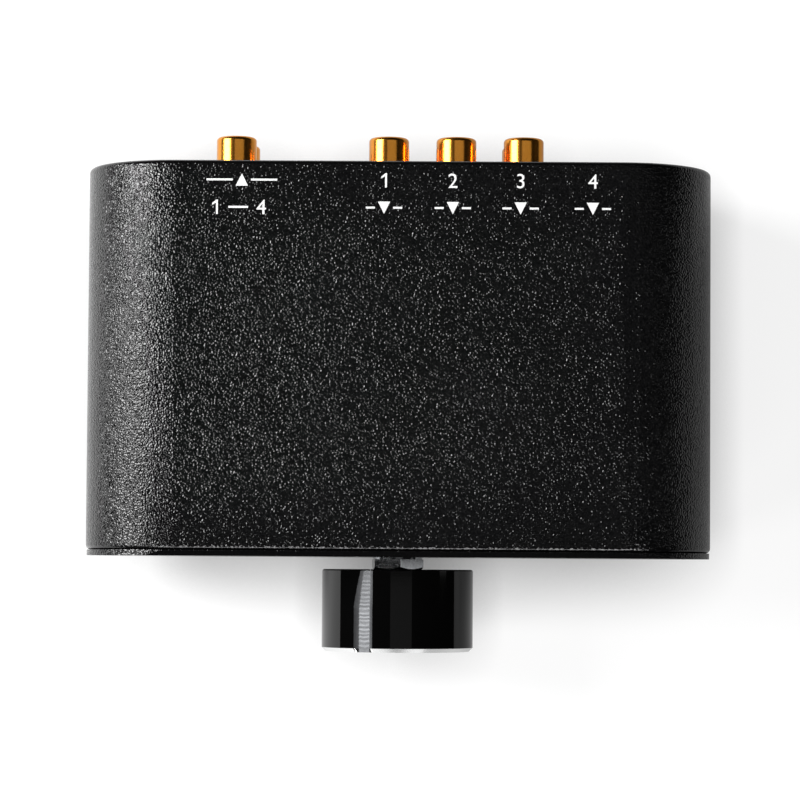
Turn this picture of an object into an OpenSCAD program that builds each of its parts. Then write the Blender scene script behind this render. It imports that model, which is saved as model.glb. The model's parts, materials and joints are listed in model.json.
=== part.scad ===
// Passive audio source selector: four stereo inputs, one output, one rotary switch.
// The front (knob) faces -Y, the sockets face +Y, and the feet stand on Z = 0.
// X = 0 is the case's middle plane, and Y = 0 is midway between knob face and socket ends.

/* [Case] */
// Width of the extruded case sleeve
case_w = 130; // [128:1:160]
// Height of the case sleeve
case_h = 42; // [38:1:50]
// Length of the case sleeve from its front edge to its rear edge
case_len = 79.5; // [70:0.5:110]
// Height of the flat band between the round edges of each side
side_flat = 3; // [1:0.5:6]
// Wall of the sleeve
wall = 2; // [1.5:0.1:2.5]

/* [Panels] */
// Thickness of the front panel
panel_t = 1.2; // [1.2:0.1:3]
// Step from the sleeve's outline in to the front panel's
panel_inset = 0.2; // [0:0.05:0.5]
// Drop of the front panel's bevel where it meets the sleeve
bevel_seam_drop = 0.1; // [0.05:0.05:0.4]
// Drop of the same bevel at the panel's face
bevel_face_drop = 1.1; // [0.4:0.05:1.2]
// Thickness of the rear panel
rear_t = 1.5; // [1:0.1:2.5]
// Depth of the rear panel's face inside the sleeve's rear edge
rear_recess = 2; // [1.7:0.1:4]
// Gap between the rear panel's edge and the sleeve
rear_gap = 0.25; // [0.1:0.05:0.5]

/* [Panel screws] */
// Thread of the panel screws
screw_d = 2.5; // [2:0.1:3]
// Head diameter of the panel screws
screw_head_d = 4.6; // [4:0.1:5.4]
// Depth of a flush front head, and height of a rear head
screw_head_h = 1; // [0.8:0.05:1.1]
// Length of a panel screw inside its channel
screw_grip = 7; // [4:0.5:12]
// Rim of a screw channel outside the screw's head
boss_rim = 0.7; // [0.5:0.05:1]
// Angle of the screw channels round the corner, from level
boss_angle = 28; // [24:1:36]

/* [Feet] */
// Diameter of a rubber foot
foot_d = 12; // [8:0.5:16]
// Height of a rubber foot
foot_h = 2.5; // [1.5:0.25:5]
// Distance from a foot's centre to the nearer end of the sleeve
foot_end = 14; // [9:0.5:22]

/* [Main board] */
// Thickness of the circuit boards
board_t = 1.6; // [1:0.1:2]
// Height of the board's underside above the case floor
board_lift = 3.4; // [3:0.1:4]
// Thickness of the rails that hold the board
rail_t = 1.2; // [0.8:0.1:1.6]
// How far the board reaches into the rails
rail_depth = 2.5; // [1.5:0.1:4]

/* [Phono sockets] */
// Distance between neighbouring sockets, sideways
column_pitch = 14; // [13:0.5:14.5]
// Distance between the two rows
row_pitch = 14; // [13:0.5:15]
// Distance from the case's left side to the output column
output_inset = 31; // [27:0.5:37]
// Distance from the case's right side to the mini jack's column
mini_inset = 25.3; // [24:0.1:29]
// Outside diameter of a barrel
barrel_d = 8.3; // [8:0.05:8.6]
// Wall of a barrel, which is also the rounding of its rim
barrel_wall = 0.8; // [0.6:0.05:0.9]
// Reach of the barrels past the sleeve's rear edge
barrel_reach = 6.3; // [5:0.1:9]
// Bore of the centre contacts
contact_bore = 3.3; // [3.2:0.02:3.4]
// Wall of the centre contacts
contact_wall = 0.45; // [0.3:0.05:0.5]
// Depth of the socket blocks behind the rear panel
socket_depth = 10; // [8:0.5:14]

/* [Mini jack] */
// Bore of the 3.5 mm jack
mini_bore = 3.6; // [3.55:0.01:3.7]
// Outside diameter of the jack's neck in the rear panel
mini_neck_d = 7.8; // [7:0.1:9]
// Width of the jack's body
mini_w = 12; // [10:0.5:12.5]
// Length of the jack's body
mini_len = 14; // [13:0.5:18]

/* [Rotary switch] */
// Diameter of the shaft
shaft_d = 6; // [5.5:0.1:6]
// Outside diameter of the threaded neck
neck_d = 7; // [6.9:0.1:7.4]
// Width of the nut across its flats
nut_af = 10.2; // [9:0.2:11]
// Thickness of the nut
nut_t = 2.2; // [1.5:0.1:2.4]
// Thickness of the lock washer
washer_t = 0.4; // [0.3:0.05:0.6]
// Diameter of the switch body
switch_d = 22.6; // [22:0.2:23.4]
// Angle of one step of the switch
index_angle = 45; // [30, 36, 45]
// Input that the knob selects at rest
rest_input = 2; // [1:1:4]

/* [Knob] */
// Diameter of the knob
knob_d = 31.5; // [24:0.5:38]
// Length of the knob
knob_len = 17; // [15:0.1:24]
// Gap between the front panel and the knob
knob_gap = 2.5; // [2.3:0.1:5]
// Width of the bright cut round the knob's front edge
knob_chamfer = 0.8; // [0.4:0.05:1.2]
// Angle of the pointer left of the top, at rest
pointer_angle = 26.5; // [0:0.5:60]
// Diameter of the round cutter that made the pointer groove
groove_cutter_d = 6; // [4:0.5:8]
// Depth of the pointer groove along its front part
groove_depth = 1.1; // [0.6:0.05:1.3]
// Depth of the pointer groove where it runs out at the back
groove_end_depth = 0.35; // [0.2:0.05:0.5]
// Length of the run-out
groove_runout = 8; // [4:0.5:10]
// Angle by which the run-out swerves toward the top
groove_swerve = 3.2; // [0:0.2:5]

/* [Hidden] */
$fn = 64;

// Clearances: a sliding or seated pair, a turning pair, and a screw in its hole
seat_gap = 0.05;
run_gap = 0.03;
hole_gap = 0.15;
// Overlap of joined shapes, and overshoot of cuts past a face
joint = 0.4;
past = 1;

// Places along Y
total_len = knob_len + knob_gap + panel_t + case_len + barrel_reach;
knob_y0 = -total_len / 2;
knob_y1 = knob_y0 + knob_len;
front_y0 = knob_y1 + knob_gap;
sleeve_y0 = front_y0 + panel_t;
sleeve_y1 = sleeve_y0 + case_len;
rear_y1 = sleeve_y1 - rear_recess;
rear_y0 = rear_y1 - rear_t;

// Places along Z
axis_z = foot_h + case_h / 2;
board_z0 = foot_h + wall + board_lift;
board_z1 = board_z0 + board_t;
// Solder tails end this far below the board
tail_poke = 1.2;
tail_z = board_z0 - tail_poke;

// Round edges of the sleeve, and half its inside width at a height in the lower ones
corner_r = (case_h - side_flat) / 2;
inner_r = corner_r - wall;
function inner_half(z) = case_w / 2 - corner_r + sqrt(inner_r ^ 2 - max(0, foot_h + corner_r - z) ^ 2);

// Screw channels, one near each corner
head_gap = 0.3;
boss_d = screw_head_d + 2 * boss_rim;
boss_reach = inner_r - screw_head_d / 2 - head_gap;
boss_x = case_w / 2 - corner_r + boss_reach * cos(boss_angle);
boss_dz = case_h / 2 - corner_r + boss_reach * sin(boss_angle);
BOSSES = [for (sx = [-1, 1], sz = [-1, 1]) [sx * boss_x, axis_z + sz * boss_dz]];

// Feet: name, side, end
FEET = [["front_left", -1, -1], ["front_right", 1, -1], ["rear_left", -1, 1], ["rear_right", 1, 1]];
foot_chamfer = 0.6;

// Main board
board_gap = 0.5;
rail_gap = 0.2;
board_half = inner_half(board_z0) - board_gap;
board_y0 = sleeve_y0 + board_gap;
board_y1 = rear_y0 - board_gap;

// Phono sockets: name, place, height, row
inputs = 4;
phono_inputs = 3;
output_x = output_inset - case_w / 2;
mini_x = case_w / 2 - mini_inset;
input_x = mini_x - phono_inputs * column_pitch;
SOCKET_NAMES = ["output", "input_1", "input_2", "input_3"];
ROW_NAMES = ["upper", "lower"];
function column_x(c) = c == 0 ? output_x : input_x + (c - 1) * column_pitch;
function row_z(r) = axis_z + (r == 0 ? 1 : -1) * row_pitch / 2;
SOCKETS = [
    for (c = [0:phono_inputs], r = [0:1])
        [str(SOCKET_NAMES[c], "_", ROW_NAMES[r]), column_x(c), row_z(r), r]
];

// Inside a socket, from the block outward: lug, barrel, insulator, contact
block_y0 = rear_y0 - socket_depth;
block_z1 = row_z(0) + row_pitch / 2;
block_gap = 0.2;
root_step = 0.2;
barrel_root_d = barrel_d + 2 * root_step;
collar_wall = 0.45;
collar_d = barrel_root_d + 2 * collar_wall;
barrel_seat = 4.5;
barrel_y0 = rear_y0 - barrel_seat;
barrel_y1 = sleeve_y1 + barrel_reach;
lug_t = 0.5;
lug_y0 = barrel_y0 - lug_t;
barrel_bore_r = barrel_d / 2 - barrel_wall;
contact_r = contact_bore / 2 + contact_wall;
contact_floor = 2;
contact_y0 = block_y0 + contact_floor;
lug_clear = 0.6;
lug_bore_r = contact_r + lug_clear;
insulator_setback = 1;
insulator_lip = 2;
insulator_y1 = barrel_y1 - insulator_setback;
contact_y1 = insulator_y1 - insulator_lip;
lip_clear = 0.3;
lip_bore = contact_bore + 2 * lip_clear;

// Solder tails of the sockets
tail_w = 1;
tail_t = 0.5;
tail_hole_d = 1.5;
tail_clear = 0.3;
ground_tail_x = barrel_root_d / 2 + tail_clear;
upper_tail_back = 2.1;
lower_tail_back = 0.1;
function contact_tail_y(row) = block_y0 - (row == 0 ? upper_tail_back : lower_tail_back) - tail_t;

// Screws that hold the socket blocks to the rear panel
block_screw_d = 2;
block_screw_head_d = 3.8;
block_screw_grip = 6;
BLOCK_SCREWS = [output_x, for (c = [1:phono_inputs - 1]) column_x(c) + column_pitch / 2];
block_peg_d = 1.6;

// Mini jack on the last input's column, level with the lower row
mini_z = row_z(1);
mini_y0 = rear_y0 - mini_len;
mini_top = mini_z + mini_w / 2;
ferrule_wall = 0.65;
ferrule_depth = 4;
ferrule_y0 = rear_y0 - ferrule_depth;
mini_floor = 2;
mini_cavity_wide = 0.4;
mini_cavity_y0 = mini_y0 + mini_floor;
plug_gap = 0.2;
spring_t = 0.3;
spring_w = 2.4;
spring_x = mini_bore / 2 + plug_gap;
spring_end_gap = 1;
spring_y1 = ferrule_y0 - spring_end_gap;
spring_slot_gap = 0.3;
tip_spring_inset = 0.6;
ring_spring_inset = 3.4;
// Mini jack springs: side and rear end
TIP_SPRING = [1, mini_cavity_y0 + tip_spring_inset];
RING_SPRING = [-1, mini_cavity_y0 + ring_spring_inset];

// Rotary switch: its parts follow each other along Y from the panel inward
flange_t = 2.5;
chamber_t = 6;
flange_y1 = sleeve_y0 + flange_t;
wafer_y0 = flange_y1 + chamber_t;
wafer_y1 = wafer_y0 + board_t;
neck_end = 1;
neck_y0 = front_y0 - washer_t - nut_t - neck_end;
neck_hole_gap = 0.2;
// Nut: turn of its first corner, angle of its turned-off corners, share of the face left flat
nut_turn = 24;
nut_chamfer = 30;
nut_face = 0.94;
// Steps from the rest position to each stop
steps_back = rest_input - 1;
steps_on = inputs - rest_input;
// Rotor between the flange and the wipers
rotor_gap = 0.4;
wiper_room = 1.1;
rotor_y0 = flange_y1 + rotor_gap;
rotor_y1 = wafer_y0 - wiper_room;
rotor_mid_y = (rotor_y0 + rotor_y1) / 2;
rotor_step = 0.5;
rotor_bore_d = shaft_d - 2 * rotor_step;
rotor_flat = 1.9;
pivot_d = 3.6;

// Detent: crests of the notched ring, balls that stand clear of them
notches = 360 / index_angle;
crest_share = 0.354;
crest_r = crest_share * switch_d;
notch_d = 2.8;
notch_inset = 1.1;
notch_r = crest_r - notch_inset;
ball_d = 2.5;
ball_gap = 0.15;
ball_r = crest_r - ball_gap - ball_d / 2;
rotor_clear = 0.7;
rotor_r = crest_r - rotor_clear;
seat_share = 0.16;
spring_seat_r = seat_share * switch_d;
ball_turn = 0;
coil_gap = 0.15;
coil_wire = 0.4;

// Stops: a lug on the rotor runs in an arc-shaped groove in the flange
stop_d = 1.6;
stop_inset = 2;
stop_r = crest_r - stop_inset;
stop_h = 1;
stop_turn = -90;
stop_gap = 0.2;
stop_slack = 1.5;
stop_groove_depth = 1.4;

// Wafer: contact tracks, and the wipers on the rotor that bridge them
wafer_rim = 1.5;
wafer_half = switch_d / 2 + wafer_rim;
wafer_lift = 1;
wafer_down = axis_z - board_z1 - wafer_lift;
pad_t = 0.1;
wiper_gap = 0.08;
wiper_t = 0.25;
wiper_w = 1.6;
dimple_d = 1;
ways_inset = 1.5;
ways_r = crest_r - ways_inset;
track_pitch = 2;
common_r = ways_r - track_pitch;
track_w = 1.2;
pad_span = 26;
way_turn = 90;

// Screws that tie the wafer and the ring to the flange
tie_inset = 1.45;
tie_r = switch_d / 2 - tie_inset;
tie_d = 1.9;
tie_head_d = 3.4;
tie_head_h = 1.2;
tie_grip = 2;

// Pin strip below the wafer
pins = 10;
pin_spacing = 2;
pin_w = 0.5;
pin_edge = 0.7;
pin_drop = wafer_down - pin_edge;
strip_t = 1.8;
strip_h = 1.8;
pin_bend = 0.8;
pin_y = wafer_y1 + strip_t + pin_bend;
pin_hole_d = 0.9;

// Peg on the flange that keeps the switch from turning in the panel
key_d = 2.4;
key_inset = 2.8;
key_r = switch_d / 2 - key_inset;
key_h = 0.7;

// Shaft inside the knob
knob_wall = 3.2;
shaft_y0 = knob_y0 + knob_wall;
shaft_flat = 2.3;
recess_d = 12.8;
recess_depth = 5;
clip_t = 0.5;
clip_d = 9;
clip_groove_d = 5;
clip_mouth = 4.2;
clip_gap = 0.1;
clip_y1 = neck_y0 - clip_gap;
set_screw_d = 3;
set_screw_len = 7;
set_screw_key = 1.5;
set_screw_y = (shaft_y0 + knob_y1 - recess_depth) / 2;
knob_back_chamfer = 0.3;

COAT = "#1c1c1e";
STEEL = "#b9bcc0";
GOLD = "#d9a441";
COPPER = "#c98d4b";
BOARD_GREEN = "#1f4a33";
BLACK_PLASTIC = "#202124";
RUBBER = "#151515";
KNOB_BLACK = "#0c0c0d";

// Extrudes a shape drawn in X and Z from one place along Y to another
module along_y(y0, y1) {
    translate([0, y1, 0]) rotate([90, 0, 0]) linear_extrude(y1 - y0) children();
}

// Turns a profile of radius and length about an axis along Y, its zero length at y
module turned(x, y, z) {
    translate([x, y, z]) rotate([-90, 0, 0]) rotate_extrude() children();
}

// Round bar along Y
module bar(x, z, d, y0, y1) {
    translate([x, y1, z]) rotate([90, 0, 0]) cylinder(d = d, h = y1 - y0);
}

// Box between two corners
module box(low, high) {
    translate(low) cube(high - low);
}

// Round bar between two points
module bar_between(p, q, d) {
    v = q - p;
    translate(p) rotate([0, acos(v[2] / norm(v)), atan2(v[1], v[0])]) cylinder(d = d, h = norm(v));
}

// Puts children, drawn round the Z axis, on the switch axis facing the front, turned clockwise
module on_axis(y, clockwise = 0) {
    translate([0, y, axis_z]) rotate([90, clockwise, 0]) children();
}

// The case's outline in X and Z, moved inward
module outline(inset) {
    w = case_w - 2 * inset;
    h = case_h - 2 * inset;
    r = corner_r - inset;
    translate([0, axis_z]) {
        square([w - 2 * r, h], center = true);
        square([w, h - 2 * r], center = true);
        for (sx = [-1, 1], sz = [-1, 1]) {
            translate([sx * (w / 2 - r), sz * (h / 2 - r)]) circle(r);
        }
    }
}

// Rails on one side, seen from the front
module rails() {
    x0 = board_half - rail_depth;
    translate([x0, board_z0 - rail_t]) square([case_w / 2 - x0, rail_t]);
    translate([x0, board_z1 + rail_gap]) square([case_w / 2 - x0, rail_t]);
}

module case_sleeve() {
    color(COAT) difference() {
        union() {
            along_y(sleeve_y0, sleeve_y1) difference() {
                outline(0);
                outline(wall);
            }
            along_y(sleeve_y0, rear_y0) intersection() {
                outline(wall / 2);
                union() {
                    for (b = BOSSES) translate(b) circle(d = boss_d);
                    rails();
                    mirror([1, 0]) rails();
                }
            }
        }
        for (b = BOSSES) bar(b[0], b[1], screw_d + hole_gap, sleeve_y0 - past, rear_y0 + past);
    }
}

// Side view of the front panel, with its two bevels
module bevelled_slab() {
    seam = case_h / 2 - bevel_seam_drop;
    face = case_h / 2 - bevel_face_drop;
    translate([-case_w / 2, 0, axis_z]) rotate([90, 0, 90]) linear_extrude(case_w)
        polygon([[front_y0, -face], [sleeve_y0, -seam], [sleeve_y0, seam], [front_y0, face]]);
}

// Cone of a flush screw head, its wide end at the panel's face
module flush_head(b, d) {
    translate([b[0], front_y0, b[1]]) rotate([-90, 0, 0])
        cylinder(d1 = d, d2 = screw_d, h = screw_head_h);
}

module front_panel() {
    color(COAT) difference() {
        intersection() {
            along_y(front_y0, sleeve_y0) outline(panel_inset);
            bevelled_slab();
        }
        bar(0, axis_z, neck_d + neck_hole_gap, front_y0 - past, sleeve_y0 + past);
        bar(-key_r, axis_z, key_d + neck_hole_gap, sleeve_y0 - key_h - seat_gap, sleeve_y0 + past);
        for (b = BOSSES) {
            bar(b[0], b[1], screw_d + hole_gap, front_y0 - past, sleeve_y0 + past);
            flush_head(b, screw_head_d);
        }
    }
}

module rear_panel() {
    color(COAT) along_y(rear_y0, rear_y1) difference() {
        outline(wall + rear_gap);
        for (s = SOCKETS) translate([s[1], s[2]]) circle(d = collar_d + hole_gap);
        for (b = BOSSES) translate(b) circle(d = screw_d + hole_gap);
        for (x = BLOCK_SCREWS) translate([x, axis_z]) circle(d = block_screw_d + hole_gap);
        translate([mini_x, mini_z]) circle(d = mini_neck_d + hole_gap);
    }
}

module front_panel_screws() {
    color(COAT) for (b = BOSSES) {
        bar(b[0], b[1], screw_d, front_y0, sleeve_y0 + screw_grip);
        flush_head(b, screw_head_d - 2 * seat_gap);
    }
}

module rear_panel_screws() {
    color(COAT) for (b = BOSSES) {
        bar(b[0], b[1], screw_d, rear_y0 - screw_grip, rear_y1);
        bar(b[0], b[1], screw_head_d, rear_y1, rear_y1 + screw_head_h);
    }
}

module foot(side, end) {
    x = side * (case_w / 2 - corner_r - foot_d / 2);
    y = end < 0 ? sleeve_y0 + foot_end : sleeve_y1 - foot_end;
    color(RUBBER) translate([x, y, 0]) {
        cylinder(d1 = foot_d - 2 * foot_chamfer, d2 = foot_d, h = foot_chamfer);
        translate([0, 0, foot_chamfer]) cylinder(d = foot_d, h = foot_h - foot_chamfer);
    }
}

module main_board() {
    color(BOARD_GREEN) difference() {
        box([-board_half, board_y0, board_z0], [board_half, board_y1, board_z1]);
        for (s = SOCKETS) {
            board_hole(s[1], contact_tail_y(s[3]) + tail_t / 2, tail_hole_d);
            board_hole(ground_tail(s), lug_y0 + lug_t / 2, tail_hole_d);
        }
        for (c = [0, 1, phono_inputs]) {
            board_hole(column_x(c), block_y0 + block_peg_d, block_peg_d + hole_gap);
        }
        for (t = [TIP_SPRING, RING_SPRING]) {
            board_hole(mini_x + t[0] * (spring_x + spring_t / 2), t[1] + tail_w / 2, tail_hole_d);
        }
        for (i = [0:pins - 1]) board_hole(pin_x(i), pin_y - pin_w / 2, pin_hole_d);
    }
}

module board_hole(x, y, d) {
    translate([x, y, board_z0 - past]) cylinder(d = d, h = board_t + 2 * past);
}

// Middle of a socket's ground tail: right of the upper row, left of the lower row
function ground_tail(s) = s[1] + (s[3] == 0 ? 1 : -1) * (ground_tail_x + tail_w / 2);

// Arm and leg of a ground lug, past the barrel below it to the board
module ground_tail(s, gap) {
    x = ground_tail(s);
    half = tail_w / 2 + gap;
    root = s[1] + (x > s[1] ? 1 : -1) * barrel_bore_r;
    y0 = lug_y0 - gap;
    y1 = barrel_y0 + gap;
    box([min(root, x - half), y0, s[2] - half], [max(root, x + half), y1, s[2] + half]);
    box([x - half, y0, tail_z], [x + half, y1, s[2] + half]);
}

// Ring behind each barrel with a tail to the board
module ground_lugs() {
    color(GOLD) for (s = SOCKETS) difference() {
        union() {
            bar(s[1], s[2], barrel_root_d, lug_y0, barrel_y0);
            ground_tail(s, 0);
        }
        bar(s[1], s[2], 2 * lug_bore_r, lug_y0 - past, barrel_y0 + past);
    }
}

// Flat tail on the back of each centre contact
module contact_tails() {
    color(GOLD) for (s = SOCKETS) {
        y = contact_tail_y(s[3]);
        box([s[1] - tail_w / 2, y, tail_z], [s[1] + tail_w / 2, y + tail_t, s[2] + tail_w]);
    }
}

// Moulded block for a run of socket columns, on the board and against the rear panel
module socket_block(first, last) {
    x0 = column_x(first) - column_pitch / 2 + block_gap;
    x1 = column_x(last) + column_pitch / 2 - block_gap;
    mine = [for (s = SOCKETS) if (s[1] > x0 && s[1] < x1) s];
    color(BLACK_PLASTIC) difference() {
        union() {
            box([x0, block_y0, board_z1], [x1, rear_y0, block_z1]);
            for (s = mine) bar(s[1], s[2], collar_d, rear_y0 - joint, rear_y1);
            for (c = first == last ? [first] : [first, last]) {
                translate([column_x(c), block_y0 + block_peg_d, board_z0])
                    cylinder(d = block_peg_d, h = board_t + joint);
            }
        }
        for (s = mine) {
            bar(s[1], s[2], barrel_root_d + 2 * seat_gap, lug_y0 - seat_gap, rear_y1 + past);
            bar(s[1], s[2], 2 * contact_r + 2 * seat_gap, block_y0 - past, rear_y1 + past);
            ground_tail(s, seat_gap);
        }
        for (x = BLOCK_SCREWS) {
            bar(x, axis_z, block_screw_d + hole_gap, rear_y0 - block_screw_grip - past, rear_y0 + past);
        }
    }
}

module input_block() {
    socket_block(1, phono_inputs);
}

module output_block() {
    socket_block(0, 0);
}

module block_screws() {
    color(COAT) for (x = BLOCK_SCREWS) {
        bar(x, axis_z, block_screw_d, rear_y0 - block_screw_grip, rear_y1);
        bar(x, axis_z, block_screw_head_d, rear_y1, rear_y1 + screw_head_h);
    }
}

module socket_barrel(s) {
    len = barrel_y1 - barrel_y0;
    color(GOLD) turned(s[1], barrel_y0, s[2]) {
        translate([barrel_bore_r, 0]) square([barrel_root_d / 2 - barrel_bore_r, rear_y1 - barrel_y0]);
        translate([barrel_bore_r, 0]) square([barrel_wall, len - barrel_wall]);
        translate([barrel_bore_r, len - barrel_wall]) intersection() {
            circle(barrel_wall);
            square(barrel_wall);
        }
    }
}

module socket_insulator(s) {
    len = insulator_y1 - barrel_y0;
    outer = barrel_bore_r - seat_gap;
    inner = contact_r + seat_gap;
    color(s[3] == 0 ? "firebrick" : "whitesmoke") turned(s[1], barrel_y0, s[2]) {
        translate([inner, 0]) square([outer - inner, len]);
        translate([lip_bore / 2, len - insulator_lip]) square([outer - lip_bore / 2, insulator_lip]);
    }
}

module socket_contact(s) {
    color(GOLD) {
        difference() {
            bar(s[1], s[2], 2 * contact_r, block_y0, contact_y1);
            bar(s[1], s[2], contact_bore, contact_y0, contact_y1 + past);
        }
        bar(s[1], s[2], 2 * tail_w, contact_tail_y(s[3]) + tail_t, block_y0 + joint);
    }
}

module mini_jack_body() {
    color(BLACK_PLASTIC) difference() {
        union() {
            box([mini_x - mini_w / 2, mini_y0, board_z1], [mini_x + mini_w / 2, rear_y0, mini_top]);
            bar(mini_x, mini_z, mini_neck_d, rear_y0 - joint, rear_y1);
        }
        bar(mini_x, mini_z, mini_bore + 2 * (ferrule_wall + seat_gap), ferrule_y0, rear_y1 + past);
        bar(mini_x, mini_z, mini_bore + 2 * mini_cavity_wide, mini_cavity_y0, rear_y1 + past);
        mini_spring_slot(TIP_SPRING);
        mini_spring_slot(RING_SPRING);
    }
}

// Slot for a contact spring, open at the jack's side and below
module mini_spring_slot(t) {
    depth = spring_w / 2 + spring_slot_gap;
    translate([mini_x, 0, 0]) mirror([t[0] < 0 ? 1 : 0, 0, 0])
        box([0, t[1] - spring_slot_gap, board_z1 - past],
            [mini_w / 2 + past, spring_y1 + spring_slot_gap, mini_z + depth]);
}

module mini_jack_ferrule() {
    color(STEEL) difference() {
        bar(mini_x, mini_z, mini_bore + 2 * ferrule_wall, ferrule_y0, rear_y1);
        bar(mini_x, mini_z, mini_bore, ferrule_y0 - past, rear_y1 + past);
    }
}

// Leaf beside the plug's path, with a leg down through the board
module mini_spring(t) {
    color(COPPER) translate([mini_x, 0, 0]) mirror([t[0] < 0 ? 1 : 0, 0, 0]) {
        box([spring_x, t[1], mini_z - spring_w / 2],
            [spring_x + spring_t, spring_y1, mini_z + spring_w / 2]);
        box([spring_x, t[1], tail_z], [spring_x + spring_t, t[1] + tail_w, mini_z]);
    }
}

module mini_jack_tip_spring() {
    mini_spring(TIP_SPRING);
}

module mini_jack_ring_spring() {
    mini_spring(RING_SPRING);
}

// Die-cast flange and neck, with the stop groove in its rear face
module switch_bushing() {
    back = steps_back * index_angle;
    on = steps_on * index_angle;
    stop_half = asin((stop_d / 2) / stop_r) + stop_slack;
    groove_w = stop_d + 2 * stop_gap;
    color(STEEL) difference() {
        union() {
            bar(0, axis_z, switch_d, sleeve_y0, flange_y1);
            bar(0, axis_z, neck_d, neck_y0, sleeve_y0 + joint);
            bar(-key_r, axis_z, key_d, sleeve_y0 - key_h, sleeve_y0 + joint);
        }
        bar(0, axis_z, shaft_d + 2 * run_gap, neck_y0 - past, flange_y1 + past);
        on_axis(flange_y1 + past, stop_turn + on + stop_half)
            rotate_extrude(angle = on + back + 2 * stop_half)
            translate([stop_r - groove_w / 2, 0]) square([groove_w, stop_groove_depth + past]);
        for (side = [-1, 1]) {
            bar(side * tie_r, axis_z, tie_d + 2 * seat_gap,
                flange_y1 - tie_grip - seat_gap, flange_y1 + past);
        }
    }
}

module switch_washer() {
    color(STEEL) difference() {
        bar(0, axis_z, nut_af, front_y0 - washer_t, front_y0);
        bar(0, axis_z, neck_d + 2 * seat_gap, front_y0 - past, front_y0 + past);
    }
}

// Hexagon nut with its front corners turned off
module switch_nut() {
    y1 = front_y0 - washer_t;
    face_r = nut_face * nut_af / 2;
    tip_r = nut_af / 2 / cos(30);
    outside_r = tip_r + past;
    color(STEEL) difference() {
        intersection() {
            on_axis(y1, -nut_turn) cylinder(r = tip_r, h = nut_t, $fn = 6);
            turned(0, y1 - nut_t, axis_z) polygon([
                [0, 0], [face_r, 0], [outside_r, (outside_r - face_r) * tan(nut_chamfer)],
                [outside_r, nut_t], [0, nut_t]
            ]);
        }
        bar(0, axis_z, neck_d + 2 * seat_gap, y1 - nut_t - past, y1 + past);
    }
}

// Round shaft: flat for the knob screw, groove for the clip, flatted seat for the rotor, rear pivot
module switch_shaft() {
    color(STEEL) difference() {
        union() {
            bar(0, axis_z, shaft_d, shaft_y0, rotor_y0);
            on_axis(rotor_y1) rotor_seat(rotor_bore_d, rotor_flat, rotor_y1 - rotor_y0 + joint);
            bar(0, axis_z, pivot_d, rotor_y1 - joint, wafer_y1);
        }
        difference() {
            bar(0, axis_z, shaft_d + past, clip_y1 - clip_t - seat_gap, clip_y1 + seat_gap);
            bar(0, axis_z, clip_groove_d, clip_y1 - 2 * clip_t, clip_y1 + clip_t);
        }
        on_axis(0, -pointer_angle) translate([-shaft_d, -shaft_d, -clip_y1 + 2 * clip_t])
            cube([2 * shaft_d, shaft_d - shaft_flat, clip_y1 - shaft_y0]);
    }
}

// Round bar with one flat
module rotor_seat(d, flat, len) {
    difference() {
        cylinder(d = d, h = len);
        translate([-d, flat, -past]) cube([2 * d, d, len + 2 * past]);
    }
}

module shaft_clip() {
    color(STEEL) difference() {
        bar(0, axis_z, clip_d, clip_y1 - clip_t, clip_y1);
        bar(0, axis_z, clip_groove_d + 2 * seat_gap, clip_y1 - clip_t - past, clip_y1 + past);
        on_axis(clip_y1 + past) translate([-clip_mouth / 2, 0, 0])
            cube([clip_mouth, clip_d, clip_t + 2 * past]);
    }
}

// Ring with one notch for each step round the turn
module detent_ring() {
    color(BLACK_PLASTIC) along_y(flange_y1, wafer_y0) translate([0, axis_z]) difference() {
        circle(d = switch_d);
        circle(crest_r);
        for (i = [0:notches - 1]) rotate(i * index_angle) translate([notch_r, 0]) circle(d = notch_d);
        for (side = [-1, 1]) translate([side * tie_r, 0]) circle(d = tie_d + hole_gap);
    }
}

module switch_rotor() {
    color("whitesmoke") difference() {
        union() {
            bar(0, axis_z, 2 * rotor_r, rotor_y0, rotor_y1);
            on_axis(rotor_y0 + joint, stop_turn) translate([stop_r, 0, 0])
                cylinder(d = stop_d, h = stop_h + joint);
        }
        on_axis(rotor_y1 + past)
            rotor_seat(rotor_bore_d + 2 * seat_gap, rotor_flat + seat_gap, rotor_y1 - rotor_y0 + 2 * past);
        for (turn = [0, 180]) on_axis(rotor_mid_y, ball_turn + turn) translate([spring_seat_r, 0, 0])
            rotate([0, 90, 0]) cylinder(d = ball_d + 2 * seat_gap, h = rotor_r);
    }
}

module detent_balls() {
    color(STEEL) for (turn = [0, 180]) {
        on_axis(rotor_mid_y, ball_turn + turn) translate([ball_r, 0, 0]) sphere(d = ball_d);
    }
}

// Springs behind the balls, closed at their coils
module detent_springs() {
    len = ball_r - ball_d / 2 - spring_seat_r;
    coil_d = ball_d - 2 * coil_gap;
    color(STEEL) for (turn = [0, 180]) {
        on_axis(rotor_mid_y, ball_turn + turn) translate([spring_seat_r, 0, 0]) rotate([0, 90, 0])
            difference() {
                cylinder(d = coil_d, h = len);
                translate([0, 0, -past]) cylinder(d = coil_d - 2 * coil_wire, h = len + 2 * past);
            }
    }
}

// One sprung bridge for each channel, with a dimple on the common track and one on the ways
module wiper_springs() {
    dimple_h = wafer_y0 - pad_t - wiper_gap - rotor_y1 - wiper_t;
    color(COPPER) for (turn = [0, 180]) {
        on_axis(rotor_y1 + wiper_t, way_turn + turn) {
            translate([common_r - dimple_d, -wiper_w / 2, 0])
                cube([ways_r - common_r + 1.5 * dimple_d, wiper_w, wiper_t]);
            for (r = [common_r, ways_r]) {
                translate([r, 0, -dimple_h]) cylinder(d = dimple_d, h = dimple_h + wiper_t);
            }
        }
    }
}

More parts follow.
